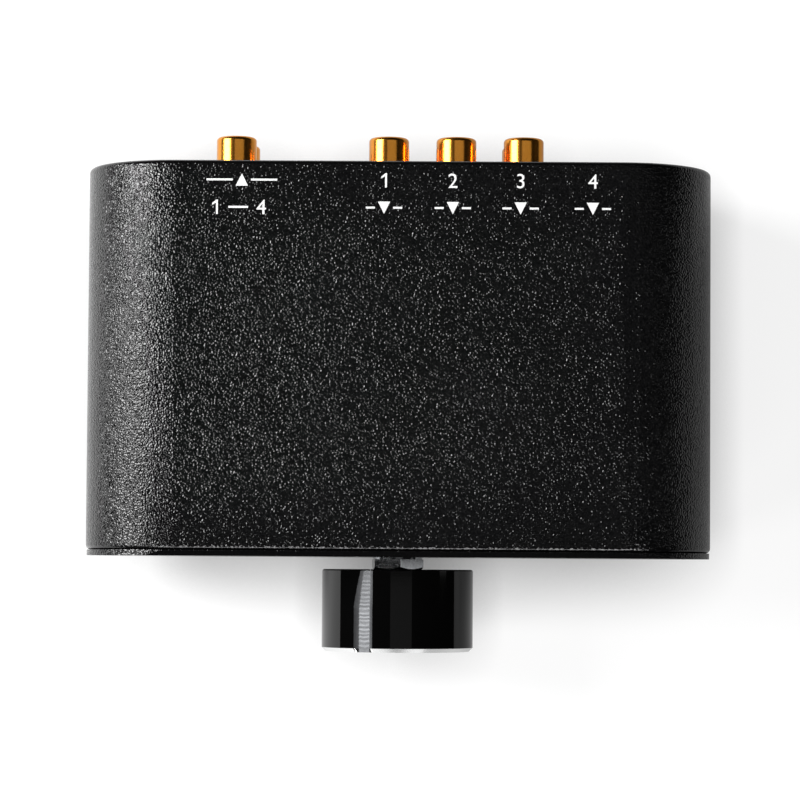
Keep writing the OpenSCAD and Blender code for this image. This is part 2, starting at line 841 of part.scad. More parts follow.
module wafer_board() {
    color(BOARD_GREEN) along_y(wafer_y0, wafer_y1) translate([0, axis_z]) difference() {
        translate([-wafer_half, -wafer_down]) square([2 * wafer_half, wafer_half + wafer_down]);
        circle(d = pivot_d + 2 * run_gap);
        for (side = [-1, 1]) translate([side * tie_r, 0]) circle(d = tie_d + hole_gap);
        for (i = [0:pins - 1]) translate([pin_x(i), -pin_drop]) circle(d = pin_hole_d);
    }
}

// Flat arc of a track, centred on a turn and spanning an angle
module track(radius, turn, span) {
    on_axis(wafer_y0, turn + span / 2) rotate_extrude(angle = span)
        translate([radius - track_w / 2, 0]) square([track_w, pad_t]);
}

module wafer_pads() {
    middle = way_turn + (steps_on - steps_back) * index_angle / 2;
    sweep = (steps_on + steps_back) * index_angle + pad_span;
    color(COPPER) for (turn = [0, 180]) {
        track(common_r, middle + turn, sweep);
        for (i = [-steps_back:steps_on]) track(ways_r, way_turn + i * index_angle + turn, pad_span);
    }
}

module switch_tie_screws() {
    color(STEEL) for (side = [-1, 1]) {
        bar(side * tie_r, axis_z, tie_d, flange_y1 - tie_grip, wafer_y1);
        bar(side * tie_r, axis_z, tie_head_d, wafer_y1, wafer_y1 + tie_head_h);
    }
}

function pin_x(i) = (i - (pins - 1) / 2) * pin_spacing;

module header_strip() {
    half = pins * pin_spacing / 2;
    z = axis_z - pin_drop;
    color(BLACK_PLASTIC) difference() {
        box([-half, wafer_y1, z - strip_h / 2], [half, wafer_y1 + strip_t, z + strip_h / 2]);
        for (i = [0:pins - 1]) bar(pin_x(i), z, pin_hole_d, wafer_y1 - past, wafer_y1 + strip_t + past);
    }
}

module header_pins() {
    z = axis_z - pin_drop;
    color(GOLD) for (i = [0:pins - 1]) translate([pin_x(i) - pin_w / 2, 0, 0]) {
        box([0, wafer_y0 + seat_gap, z - pin_w / 2], [pin_w, pin_y, z + pin_w / 2]);
        box([0, pin_y - pin_w, tail_z], [pin_w, pin_y, z + pin_w / 2]);
    }
}

// Point on the groove cutter's axis at a place along Y
function cutter_at(depth, swerve, y) =
    let (r = knob_d / 2 + groove_cutter_d / 2 - depth, a = pointer_angle - swerve)
    [-r * sin(a), y, axis_z + r * cos(a)];

// Pointer groove: straight from the front, then rising out toward the back
module pointer_groove() {
    start = cutter_at(groove_depth, 0, knob_y0 - past);
    bend = cutter_at(groove_depth, 0, knob_y1 - groove_runout);
    end = cutter_at(groove_end_depth, groove_swerve, knob_y1);
    bar_between(start, bend + [0, joint, 0], groove_cutter_d);
    bar_between(bend, end + (end - bend) * past / groove_runout, groove_cutter_d);
}

module knob() {
    r = knob_d / 2;
    color(KNOB_BLACK) difference() {
        turned(0, knob_y0, axis_z) polygon([
            [0, 0], [r - knob_chamfer, 0], [r, knob_chamfer],
            [r, knob_len - knob_back_chamfer], [r - knob_back_chamfer, knob_len], [0, knob_len]
        ]);
        bar(0, axis_z, recess_d, knob_y1 - recess_depth, knob_y1 + past);
        bar(0, axis_z, shaft_d + 2 * seat_gap, shaft_y0 - seat_gap, knob_y1 + past);
        set_screw_path(0, knob_d, set_screw_d + 2 * seat_gap);
        pointer_groove();
    }
}

// Round bar across the knob, opposite the pointer, between two distances from the axis
module set_screw_path(r0, r1, d, sides = 64) {
    on_axis(set_screw_y, -pointer_angle) translate([0, -r0, 0]) rotate([90, 0, 0])
        cylinder(d = d, h = r1 - r0, $fn = sides);
}

module knob_set_screw() {
    tip = shaft_flat + seat_gap;
    color(STEEL) difference() {
        set_screw_path(tip, tip + set_screw_len, set_screw_d);
        set_screw_path(tip + set_screw_len / 2, knob_d, set_screw_key, 6);
    }
}

case_sleeve();
front_panel();
rear_panel();
front_panel_screws();
rear_panel_screws();
for (f = FEET) foot(f[1], f[2]);
main_board();
input_block();
output_block();
block_screws();
ground_lugs();
contact_tails();
for (s = SOCKETS) socket_barrel(s);
for (s = SOCKETS) socket_insulator(s);
for (s = SOCKETS) socket_contact(s);
mini_jack_body();
mini_jack_ferrule();
mini_jack_tip_spring();
mini_jack_ring_spring();
switch_bushing();
switch_washer();
switch_nut();
switch_shaft();
shaft_clip();
detent_ring();
switch_rotor();
detent_balls();
detent_springs();
wiper_springs();
wafer_board();
wafer_pads();
switch_tie_screws();
header_strip();
header_pins();
knob();
knob_set_screw();
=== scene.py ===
# %% [markdown]
# This lesson dresses a small audio source selector: a black coated sleeve between two end plates, a big
# turned knob on the front and gold phono sockets on the back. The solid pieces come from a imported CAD
# part, and Blender adds what a drawing leaves out: finishes, tool marks, print and light.

import json
import math

import bmesh
import bpy
import numpy as np
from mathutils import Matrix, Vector


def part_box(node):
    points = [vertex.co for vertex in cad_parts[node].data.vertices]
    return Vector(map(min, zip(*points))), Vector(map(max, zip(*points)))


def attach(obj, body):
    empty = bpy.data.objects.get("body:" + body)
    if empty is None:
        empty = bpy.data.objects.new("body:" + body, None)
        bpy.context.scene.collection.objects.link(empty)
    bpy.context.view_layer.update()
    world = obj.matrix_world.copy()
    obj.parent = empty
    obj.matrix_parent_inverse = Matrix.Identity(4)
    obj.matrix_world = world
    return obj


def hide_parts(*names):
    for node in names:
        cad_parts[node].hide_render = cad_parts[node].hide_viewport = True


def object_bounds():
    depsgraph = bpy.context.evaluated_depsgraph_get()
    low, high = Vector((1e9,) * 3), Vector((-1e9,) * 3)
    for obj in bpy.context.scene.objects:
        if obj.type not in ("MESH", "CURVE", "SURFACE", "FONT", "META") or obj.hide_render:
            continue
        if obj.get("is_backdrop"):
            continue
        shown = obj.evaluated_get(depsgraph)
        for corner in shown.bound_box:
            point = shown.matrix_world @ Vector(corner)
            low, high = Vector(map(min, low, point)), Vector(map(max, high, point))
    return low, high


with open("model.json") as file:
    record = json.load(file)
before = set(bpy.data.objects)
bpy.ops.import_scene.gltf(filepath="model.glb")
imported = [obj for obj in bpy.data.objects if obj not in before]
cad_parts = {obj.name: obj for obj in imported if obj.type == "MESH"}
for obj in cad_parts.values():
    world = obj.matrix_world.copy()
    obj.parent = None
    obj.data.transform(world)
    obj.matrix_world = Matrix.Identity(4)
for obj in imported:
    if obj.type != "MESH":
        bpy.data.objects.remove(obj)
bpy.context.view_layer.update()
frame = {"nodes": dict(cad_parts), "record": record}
nodes = frame["nodes"]
MM = 0.001


def box_mm(name):
    """Lowest and highest corner of a CAD node, in millimetres."""
    low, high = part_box(name)
    return np.array(low) / MM, np.array(high) / MM


# %% [markdown]
# The camera stands where the photograph was taken: straight above, a little in front of the box, tilted
# three degrees back. A long lens keeps the sides almost parallel. The place, the tilt and the focal length
# in pixels came from fitting the sleeve's outline, so the place is counted from the middle of the sleeve's
# top and no shift is needed.

# %% Camera
PHOTO_PX = 800
FOCAL_PX = 3212.3
SENSOR_MM = 36
CAMERA_FROM_TOP = np.array([5.10, -43.26, 650.83])
TILT_RAD = (0.0524, 0.0072, 0.0067)

sleeve_low, sleeve_high = box_mm("case_sleeve")
sleeve_middle = (sleeve_low + sleeve_high) / 2
sleeve_top = np.append(sleeve_middle[:2], sleeve_high[2])
lens = bpy.data.cameras.new("photo_camera")
lens.sensor_width = SENSOR_MM
lens.lens = FOCAL_PX / PHOTO_PX * SENSOR_MM
lens.clip_start = 0.01
camera = bpy.data.objects.new("photo_camera", lens)
bpy.context.scene.collection.objects.link(camera)
camera.location = (sleeve_top + CAMERA_FROM_TOP) * MM
camera.rotation_mode = "ZXY"
camera.rotation_euler = TILT_RAD
bpy.context.scene.camera = camera
bpy.context.scene.view_settings.view_transform = "Standard"
print("camera with a lens of", round(lens.lens, 1), "mm")

# %% [markdown]
# Nodes are added by one small function: it takes the node's kind, its settings, and what goes into its
# sockets, either a plain value or another node's output. Sums have a shorter form of it. Colours are
# written as the hex values a painter would note, and turned to the linear light that the shader works in.
# Pattern scales are given as real sizes in millimetres.

# %% Helpers for nodes and colours
def add(tree, kind, inputs, **settings):
    """Adds a node; inputs maps a socket's name or number to a value or to another node's output."""
    node = tree.nodes.new(kind)
    for name, value in settings.items():
        setattr(node, name, value)
    for socket, value in inputs.items():
        if isinstance(value, bpy.types.NodeSocket):
            tree.links.new(value, node.inputs[socket])
        else:
            node.inputs[socket].default_value = value
    return node


def maths(tree, operation, *values):
    """Result of a math node, into which numbers or outputs go in their order."""
    return add(tree, "ShaderNodeMath", dict(enumerate(values)), operation=operation).outputs[0]


def vector_maths(tree, operation, *values):
    """Result of a vector math node, into which vectors or outputs go in their order."""
    return add(tree, "ShaderNodeVectorMath", dict(enumerate(values)), operation=operation).outputs[0]


def linear(code):
    """Linear colour from an sRGB hex code: each channel is undone by the sRGB curve."""
    srgb = np.array([int(code[i:i + 2], 16) for i in (1, 3, 5)]) / 255
    light = np.where(srgb <= 0.04045, srgb / 12.92, ((srgb + 0.055) / 1.055) ** 2.4)
    return (*light.tolist(), 1.0)


def per_mm(size):
    """Texture scale at which one cell of a pattern is this many millimetres wide."""
    return 1 / (size * MM)


print("a mid grey of #808080 is", round(linear("#808080")[0], 3), "in linear light")

# %% [markdown]
# Real surfaces are never one flat colour. Most finishes here are two close colours mixed by one noise,
# which also raises the surface a little. The noise is stretched where a tool drew the grain out.

# %% Helpers for finishes
GRAIN_OCTAVES, GRAIN_ROUGHNESS = 3.0, 0.55


def new_finish(name, **sockets):
    """A material with its principled shader's sockets set; gives the material, its tree and the shader."""
    finish = bpy.data.materials.new(name)
    finish.use_nodes = True
    shader = finish.node_tree.nodes["Principled BSDF"]
    for socket, value in sockets.items():
        shader.inputs[socket.replace("_", " ")].default_value = value
    return finish, finish.node_tree, shader


def show_grain(tree, shader, grain, dark, light, height):
    """Mixes two colours by a noise and raises the surface by it; height is in metres or an output."""
    tint = add(tree, "ShaderNodeMix", {
        "Factor": grain.outputs["Fac"], "A": linear(dark), "B": linear(light)}, data_type="RGBA")
    raised = add(tree, "ShaderNodeBump", {
        "Height": grain.outputs["Fac"], "Distance": height, "Strength": 1.0})
    tree.links.new(tint.outputs["Result"], shader.inputs["Base Color"])
    tree.links.new(raised.outputs["Normal"], shader.inputs["Normal"])


def grained_finish(name, dark, light, grain_mm, height_mm, **sockets):
    """A finish of two close colours; grain_mm is the size of a grain, or its sizes along X, Y and Z."""
    finish, tree, shader = new_finish(name, **sockets)
    place = add(tree, "ShaderNodeTexCoord", {}).outputs["Object"]
    cells = [per_mm(size) for size in np.broadcast_to(grain_mm, 3)]
    stretched = add(tree, "ShaderNodeMapping", {"Vector": place, "Scale": cells})
    grain = add(tree, "ShaderNodeTexNoise", {
        "Vector": stretched.outputs[0], "Scale": 1.0,
        "Detail": GRAIN_OCTAVES, "Roughness": GRAIN_ROUGHNESS})
    show_grain(tree, shader, grain, dark, light, height_mm * MM)
    return finish


print("grained finishes take a noise with a detail of", GRAIN_OCTAVES)

# %% [markdown]
# The case is coated with a black sand-textured powder: polyester grains that melted into a pebbled skin.
# The pigment is nearly black, and what the eye sees is the light that each pebble throws back. So the
# colour stays dark and the skin glossy, and one soft noise raises it into steep pebbles, each of which
# catches a lamp on one flank. The real pebbles are a little finer, and are drawn as coarse as shows in the
# render. The lid looks darker towards the ends of the sleeve, as where powder gathers and flows out
# smoother, so the pebbles are drawn lower there. Over an end edge a melt draws thin, so they sink away.

# %% Powder coat
PEBBLE_MM = 0.37
PEBBLE_HEIGHT_MM = 0.232
EDGE_THINNING = 2
END_REACH_MM = 18.0
END_SHARE = 0.78


def height_near_ends(tree, place):
    """Pebble height in the middle of the sleeve, falling to a share of it at both ends."""
    half = (sleeve_high - sleeve_middle)[1]
    along = add(tree, "ShaderNodeSeparateXYZ", {"Vector": place}).outputs["Y"]
    distance = maths(tree, "ABSOLUTE", maths(tree, "SUBTRACT", along, sleeve_middle[1] * MM))
    return add(tree, "ShaderNodeMapRange", {
        "Value": distance, "From Min": (half - END_REACH_MM) * MM, "From Max": half * MM,
        "To Min": PEBBLE_HEIGHT_MM * MM, "To Max": END_SHARE * PEBBLE_HEIGHT_MM * MM}).outputs[0]


def height_share(tree, normal):
    """One on the lid and on the end plates, nought half way between. With y the part of the normal along
    the sleeve, the cosine of twice the lean is 1 - 2 y^2; its even power is 1, then nought, then 1."""
    lean = add(tree, "ShaderNodeSeparateXYZ", {"Vector": normal}).outputs["Y"]
    square = maths(tree, "MULTIPLY", lean, lean)
    cosine = maths(tree, "MULTIPLY_ADD", square, -2.0, 1.0)
    return maths(tree, "POWER", cosine, EDGE_THINNING)


def sand_powder_coat():
    finish, tree, shader = new_finish("polyester_powder_coat_black_sand", Roughness=0.12, IOR=1.5)
    surface = add(tree, "ShaderNodeTexCoord", {})
    place, normal = surface.outputs["Object"], surface.outputs["Normal"]
    pebbles = add(tree, "ShaderNodeTexNoise", {
        "Vector": place, "Scale": per_mm(PEBBLE_MM), "Detail": 0.0})
    height = maths(tree, "MULTIPLY", height_near_ends(tree, place), height_share(tree, normal))
    show_grain(tree, shader, pebbles, "#020202", "#0e0e0f", height)
    return finish


SAND_COAT = sand_powder_coat()
print("coat with pebbles of", PEBBLE_MM, "mm")

# %% [markdown]
# The phono sockets are turned brass with a thin gold plate. Gold is a metal, so its colour lives in the
# reflection: pale where it mirrors a lamp, deep brown where it mirrors the dark room. The plate copies the
# fine marks of turning, which run round the barrel, so the grain is short along the barrel's axis. The
# other metals differ in colour, in shine and in the way their grain was drawn.

# %% Metal finishes
METALS = {
    "gold_plate": grained_finish(
        "gold_plate_on_turned_brass", "#de8c2c", "#eba446", (1.2, 0.12, 1.2), 0.002,
        Metallic=1.0, Roughness=0.2),
    "switch_metal": grained_finish(
        "nickel_plated_steel", "#8d8f92", "#b4b6b8", (0.35, 1.6, 0.35), 0.004,
        Metallic=1.0, Roughness=0.14),
    "contact_copper": grained_finish(
        "bare_phosphor_bronze", "#a8703c", "#c58e58", (0.2, 1.5, 0.2), 0.003,
        Metallic=1.0, Roughness=0.32),
    "black_screws": grained_finish(
        "black_oxide_steel", "#131314", "#222224", 0.12, 0.006,
        Metallic=0.6, Roughness=0.36),
}
print(len(METALS), "metals")

# %% [markdown]
# The plastics are told apart by how their moulds were made. The black socket blocks came from a spark
# eroded mould, which leaves a fine even matt grain. The insulators that mark the two channels came from a
# polished one, so they are smooth with only a faint swirl of pigment. The feet are moulded rubber, dusty
# and dull, and the boards are glass cloth under a green lacquer, through which the weave just shows.

# %% Plastic, rubber and board finishes
MOULDED = {
    "black_moulding": grained_finish(
        "spark_textured_black_nylon", "#121213", "#1e1e20", 0.14, 0.012, Roughness=0.55, IOR=1.53),
    "white_moulding": grained_finish(
        "moulded_white_acetal", "#d2d1cb", "#dedcd6", 0.5, 0.004, Roughness=0.42, IOR=1.48),
    "red_insulator": grained_finish(
        "moulded_red_nylon", "#9c1612", "#ad1d18", 1.4, 0.004, Roughness=0.3, IOR=1.53),
    "white_insulator": grained_finish(
        "moulded_white_nylon", "#dcdad4", "#e8e6e0", 1.4, 0.004, Roughness=0.3, IOR=1.53),
    "foot_rubber": grained_finish(
        "moulded_black_rubber", "#161616", "#262524", 0.25, 0.03, Roughness=0.82, IOR=1.52),
    "board": grained_finish(
        "solder_mask_over_glass_cloth", "#173d28", "#22503a", 0.5, 0.01, Roughness=0.38, IOR=1.5),
}
print(len(MOULDED), "plastics, rubber and boards")

# %% [markdown]
# The knob has three surfaces. It was turned from aluminium and lacquered in deep gloss black, so it is
# almost a mirror with a faint trace of the turning. Then its front edge and the pointer groove were cut
# through the lacquer: the edge with a diamond tool, which leaves it bright, and the groove with an end
# mill, which leaves bare, softer metal.

# %% Knob finishes
KNOB_GLOSS = grained_finish(
    "gloss_black_lacquer", "#020202", "#050505", (4.0, 0.15, 4.0), 0.0006, Roughness=0.045, IOR=1.45)
KNOB_BRIGHT_EDGE = grained_finish(
    "diamond_cut_aluminium", "#eceded", "#f6f6f6", (3.0, 0.1, 3.0), 0.0004, Metallic=1.0, Roughness=0.12)
KNOB_MILLED = grained_finish(
    "milled_aluminium", "#525355", "#78797b", (0.9, 0.12, 0.9), 0.012, Metallic=1.0, Roughness=0.55)
print("knob finishes:", KNOB_GLOSS.name, KNOB_BRIGHT_EDGE.name, KNOB_MILLED.name)

# %% [markdown]
# Each turned piece is a grid of points worked out with numpy: one direction runs along a profile, the
# other round the axis. The faces of a grid follow from its two counts alone. Where a profile starts on the
# axis, a whole row of points falls together, so doubles are merged before the normals are turned outward.

# %% Helpers for meshes
SHARP = math.radians(32)
MERGE_MM = 1e-4


def ring_faces(rows, columns):
    """Quads of a grid that closes round its columns: each joins a point to the next row and column."""
    row, column = np.meshgrid(np.arange(rows - 1), np.arange(columns), indexing="ij")
    after = (column + 1) % columns
    corners = [row * columns + column, row * columns + after,
               (row + 1) * columns + after, (row + 1) * columns + column]
    return np.stack(corners, axis=-1).reshape(-1, 4)


def new_piece(name, points, faces, body, finishes, finish_of_face=None):
    """Mesh object from points in millimetres; it rides on a body and takes the given finishes as its
    material slots.
    """
    mesh = bpy.data.meshes.new(name)
    mesh.from_pydata((points.reshape(-1, 3) * MM).tolist(), [], faces.tolist())
    for finish in finishes:
        mesh.materials.append(finish)
    if finish_of_face is not None:
        mesh.polygons.foreach_set("material_index", finish_of_face.astype(np.int32))
    joined = bmesh.new()
    joined.from_mesh(mesh)
    bmesh.ops.remove_doubles(joined, verts=joined.verts, dist=MERGE_MM * MM)
    bmesh.ops.recalc_face_normals(joined, faces=joined.faces)
    joined.to_mesh(mesh)
    joined.free()
    mesh.shade_smooth()
    mesh.set_sharp_from_angle(angle=SHARP)
    made = bpy.data.objects.new(name, mesh)
    bpy.context.scene.collection.objects.link(made)
    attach(made, body)
    print(name, len(mesh.polygons), "faces")
    return made


print("a closed grid of 3 rows and 8 columns has", len(ring_faces(3, 8)), "faces")

# %% [markdown]
# The knob is the piece that the hand and the eye go to. A lathe profile alone would miss the pointer, a
# groove milled along the rim, and the hole of the clamping screw opposite to it. So the rows of the grid
# follow the lathe's profile, and its columns stand close together where the groove and the hole need them.

# %% Knob profile and angles
POINTER_DEG = -26.5
EDGE_CUT, BACK_CUT = 0.8, 0.3
RECESS_R, RECESS_DEPTH = 6.4, 5.0
BORE_R, BORE_WALL = 3.05, 3.15
HOLE_R, HOLE_COLUMNS = 1.55, 33
STEP_PITCH, ROWS_PER_STEP = 0.83, 8
FACE_RINGS, FACE_RIM = (0, 5, 10, 13), 0.6
GROOVE_SPAN_DEG, GROOVE_TURN_DEG = (-10, 14), 0.25
PLAIN_TURN_DEG = 2.0

knob_low, knob_high = box_mm("knob")
KNOB_R = (knob_high[0] - knob_low[0]) / 2
AXIS_Z = (knob_low[2] + knob_high[2]) / 2
KNOB_FRONT, KNOB_BACK = knob_low[1], knob_high[1]
BORE_Y, RECESS_Y = KNOB_FRONT + BORE_WALL, KNOB_BACK - RECESS_DEPTH
HOLE_Y = (BORE_Y + RECESS_Y) / 2


def knob_profile():
    """Closed turning profile as radius and place along the axis, from the front's middle to the bore's."""
    rim_back = KNOB_BACK - BACK_CUT
    straight = np.arange(KNOB_FRONT + EDGE_CUT, rim_back, STEP_PITCH / ROWS_PER_STEP)
    straight = np.append(straight, [rim_back, HOLE_Y - HOLE_R, HOLE_Y + HOLE_R])
    straight = np.unique(straight.round(4))
    face_edge = KNOB_R - EDGE_CUT
    face_r = np.array([*FACE_RINGS, face_edge - FACE_RIM, face_edge])
    tail = [(KNOB_R - BACK_CUT, KNOB_BACK), (RECESS_R, KNOB_BACK), (RECESS_R, RECESS_Y),
            (BORE_R, RECESS_Y), (BORE_R, BORE_Y), (0, BORE_Y)]
    radius = np.concatenate([face_r, np.full(len(straight), KNOB_R), [r for r, _ in tail]])
    place = np.concatenate([np.full(len(face_r), KNOB_FRONT), straight, [y for _, y in tail]])
    return radius, place, len(face_r)


def wrapped(angle):
    """The same angle between minus and plus half a turn."""
    return (angle + np.pi) % (2 * np.pi) - np.pi


def outside(angle, stretch):
    """Whether an angle lies outside a stretch of angles."""
    return np.abs(wrapped(angle - stretch.mean())) > np.ptp(stretch) / 2


def knob_angles():
    """Angles round the axis from the top, clockwise from the front: close together at groove and hole."""
    groove = np.radians(POINTER_DEG) + np.radians(np.arange(*GROOVE_SPAN_DEG, GROOVE_TURN_DEG))
    hole = np.radians(POINTER_DEG + 180) + np.linspace(-2, 2, HOLE_COLUMNS) * HOLE_R / KNOB_R
    plain = np.radians(np.arange(-180, 180, PLAIN_TURN_DEG))
    plain = plain[outside(plain, groove) & outside(plain, hole)]
    return np.sort(wrapped(np.concatenate([groove, hole, plain])))


print("knob grid of", len(knob_profile()[0]), "rows and", len(knob_angles()), "columns")

# %% [markdown]
# The pointer groove runs out in a shallow swerve towards the back, and the end mill left steps across its
# floor. Its radius is worked out for every angle and place along the axis, as a cutter would leave it, and
# the knob later takes the smaller of what the lathe left and what the cutter left. The steps are bowed,
# wander a little and are of uneven height, because a tool never cuts the same chip twice.

# %% Pointer groove
CUTTER_R = 3.0
GROOVE_DEPTH, GROOVE_END_DEPTH = 1.1, 0.35
GROOVE_RUNOUT = 8.0
GROOVE_SWERVE_DEG = 3.2
FLOOR_SHARE = 0.78
STEP_HEIGHT, STEP_BOW = 0.03, 0.1
WANDER, WANDER_PER_MM = 0.7, 1.9
UNEVEN, UNEVEN_PER_MM, UNEVEN_ACROSS = 0.3, 2.7, 0.8


def groove_radius(angle, place):
    """What the cutter leaves, and infinite where it cuts nothing.

    With d the angle from the groove's middle, q the cutter's radius and c the distance of its axis from the
    knob's, its side leaves c cos d - sqrt(q^2 - c^2 sin^2 d) and its end a flat at floor / cos d."""
    runout = np.clip((place - KNOB_BACK + GROOVE_RUNOUT) / GROOVE_RUNOUT, 0, 1)
    depth = GROOVE_DEPTH + runout * (GROOVE_END_DEPTH - GROOVE_DEPTH)
    turn = wrapped(angle - np.radians(POINTER_DEG + runout * GROOVE_SWERVE_DEG))
    c = KNOB_R + CUTTER_R - depth
    inside = CUTTER_R ** 2 - (c * np.sin(turn)) ** 2
    side = c * np.cos(turn) - np.sqrt(np.maximum(inside, 0))
    across = KNOB_R * turn
    phase = 2 * np.pi * (place - STEP_BOW * across ** 2) / STEP_PITCH
    phase = phase + WANDER * np.sin(WANDER_PER_MM * place)
    uneven = 1 - UNEVEN + UNEVEN * np.sin(UNEVEN_PER_MM * place + UNEVEN_ACROSS * across)
    floor = (KNOB_R - FLOOR_SHARE * depth + STEP_HEIGHT * uneven * np.sin(phase)) / np.cos(turn)
    cut = (inside > 0) & (np.abs(turn) < np.pi / 4)
    return np.where(cut, np.maximum(side, floor), np.inf)


print("groove", GROOVE_DEPTH, "mm deep at the front and", GROOVE_END_DEPTH, "mm at the back")

# %% [markdown]
# A round hole in a grid of squares would have a stepped edge. So the grid's square rings round the hole are
# drawn into circles first, and the rings inside are then sunk to the hole's floor.

# %% Knob with groove and hole
HOLE_FLOOR_R = 9.0
HOLE_EDGE_RING, HOLE_FLOOR_RING = 0.5, 0.44
LEAST_CUT = 0.002


def screw_hole(angle, place, radius):
    """Draws square rings of the grid round the hole into circles, and sinks those inside it to its floor.

    In units of the hole's diameter a point's ring is the larger of its two distances. Ring one half becomes
    the hole's edge, smaller rings become its wall and floor, and rings up to one blend back to squares."""
    p = KNOB_R * wrapped(angle - np.radians(POINTER_DEG + 180)) / (2 * HOLE_R)
    q = (place - HOLE_Y) / (2 * HOLE_R)
    ring = np.maximum(np.abs(p), np.abs(q))
    reach = np.maximum(np.hypot(p, q), 1e-9)
    near = (ring < 1) & (radius > KNOB_R - 0.01)
    deep = near & (ring < HOLE_EDGE_RING - 1e-4)
    size = np.where(deep, HOLE_EDGE_RING * np.minimum(ring / HOLE_FLOOR_RING, 1), ring)
    blend = np.clip(2 * ring - 1, 0, 1)
    moved_p = blend * p + (1 - blend) * size * p / reach
    moved_q = blend * q + (1 - blend) * size * q / reach
    angle = np.where(near, angle + (moved_p - p) * 2 * HOLE_R / KNOB_R, angle)
    place = np.where(near, place + (moved_q - q) * 2 * HOLE_R, place)
    return angle, place, np.where(deep, HOLE_FLOOR_R, radius)


def make_knob():
    radius, place, face_rows = knob_profile()
    angle = knob_angles()
    rows, columns = len(radius), len(angle)
    turned_r = np.repeat(radius[:, None], columns, axis=1)
    y = np.repeat(place[:, None], columns, axis=1)
    a = np.repeat(angle[None, :], rows, axis=0)
    milled_r = groove_radius(a, y)
    milled = (milled_r < turned_r - LEAST_CUT) & (turned_r > KNOB_R / 2)
    r = np.where(milled, milled_r, turned_r)
    a, y, r = screw_hole(a, y, r)
    points = np.stack([r * np.sin(a), y, AXIS_Z + r * np.cos(a)], axis=-1)
    faces = ring_faces(rows, columns)
    in_groove = milled.reshape(-1)[faces].mean(axis=1) > 0.5
    in_edge = faces[:, 0] // columns == face_rows - 1
    finish_of_face = np.where(in_groove, 2, np.where(in_edge, 1, 0))
    knob = new_piece("turned_knob", points, faces, "selector",
                     [KNOB_GLOSS, KNOB_BRIGHT_EDGE, KNOB_MILLED], finish_of_face)
    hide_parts("knob")


make_knob()

# %% [markdown]
# Screws show their drive. The panel screws are small cross-recess screws: flush ones in the front plate,
# domed ones on the back. A screw is a turned piece too, from the middle of its recess over the head and
# down the shank, and only the first rows leave the circle to follow the cross.

# %% Cross-recess screw
CROSS_ARM = 1.25
CROSS_HALF_W = CROSS_ARM * math.tan(math.radians(15))
CROSS_DEPTH, CROSS_FLOOR_SHARE = 0.7, 0.7
HEAD_RINGS = 6
SCREW_TURN_DEG = 3.75


def cross_outline(angle):
    """Distance to a plus sign's edge: the farther of its two bars, each a clipped rectangle."""
    c = np.maximum(np.abs(np.cos(angle)), 1e-9)
    s = np.maximum(np.abs(np.sin(angle)), 1e-9)
    level = np.minimum(CROSS_ARM / c, CROSS_HALF_W / s)
    upright = np.minimum(CROSS_HALF_W / c, CROSS_ARM / s)
    return np.maximum(level, upright)


def cross_screw(head_r, top, below, scale=1.0):
    """Screw about the Z axis, its head's top rising by top(share of the radius), then the profile below."""
    angle = np.radians(np.arange(0, 360, SCREW_TURN_DEG))
    cross = scale * cross_outline(angle)
    share = np.linspace(0, 1, HEAD_RINGS)[:, None]
    dome_r = cross + share * (head_r - cross)
    floor = 0 * angle + top(0) - CROSS_DEPTH * scale
    radius = np.concatenate([[0 * angle, CROSS_FLOOR_SHARE * cross], dome_r,
                             [0 * angle + r for r, _ in below]])
    height = np.concatenate([[floor, floor], top(dome_r / head_r), [0 * angle + z for _, z in below]])
    return np.stack([radius * np.cos(angle), radius * np.sin(angle), height], axis=-1)


def set_screws(node, screw, places, y, outward):
    """Copies of one screw at places in X and Z, its axis turned along Y, joined to one piece."""
    rows, columns = screw.shape[:2]
    upright = np.stack([screw[..., 0], outward * screw[..., 2], screw[..., 1]], axis=-1)
    shift = np.array([[x, y, z] for x, z in places])
    points = upright[None] + shift[:, None, None, :]
    first = (np.arange(len(places)) * rows * columns)[:, None, None]
    faces = (ring_faces(rows, columns)[None] + first).reshape(-1, 4)
    made = new_piece(node + "_cross", points, faces, "case", [METALS["black_screws"]])
    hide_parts(node)


print("cross recess of", 2 * CROSS_ARM, "mm with bars of", round(2 * CROSS_HALF_W, 2), "mm")

# %% [markdown]
# Three groups of screws show: four flush ones hold the front plate, four pan heads the rear plate, and
# three smaller pan heads the socket blocks. Their places and lengths come from the boxes of their nodes.

# %% Screws of the end plates
SHANK_R, BLOCK_SHANK_R = 1.25, 1.0
FLUSH_R, PAN_R, BLOCK_R = 2.25, 2.3, 1.9
HEAD_H = 1.0
FLUSH_DISH = 0.06
DOME_DROP = 0.3
BLOCK_CROSS = 0.8
SOCKET_PITCH = 14.0


def corner_places(low, high, head_r):
    """Four places, one head radius inside the corners of a node's box."""
    across = (low[0] + head_r, high[0] - head_r)
    upward = (low[2] + head_r, high[2] - head_r)
    return [(x, z) for x in across for z in upward]


def pan_screw(head_r, shank_r, length, scale=1.0):
    """Screw with a domed head whose underside is at nought."""
    return cross_screw(head_r, lambda share: HEAD_H * (1 - DOME_DROP * share ** 4),
                       [(head_r, 0), (shank_r, 0), (shank_r, -length), (0, -length)], scale)


low, high = box_mm("front_panel_screws")
flush = cross_screw(FLUSH_R, lambda share: -FLUSH_DISH * (1 - share ** 2),
                    [(SHANK_R, -HEAD_H), (SHANK_R, low[1] - high[1]), (0, low[1] - high[1])])
set_screws("front_panel_screws", flush, corner_places(low, high, FLUSH_R), low[1], -1)

low, high = box_mm("rear_panel_screws")
pan = pan_screw(PAN_R, SHANK_R, high[1] - low[1] - HEAD_H)
set_screws("rear_panel_screws", pan, corner_places(low, high, PAN_R), high[1] - HEAD_H, 1)

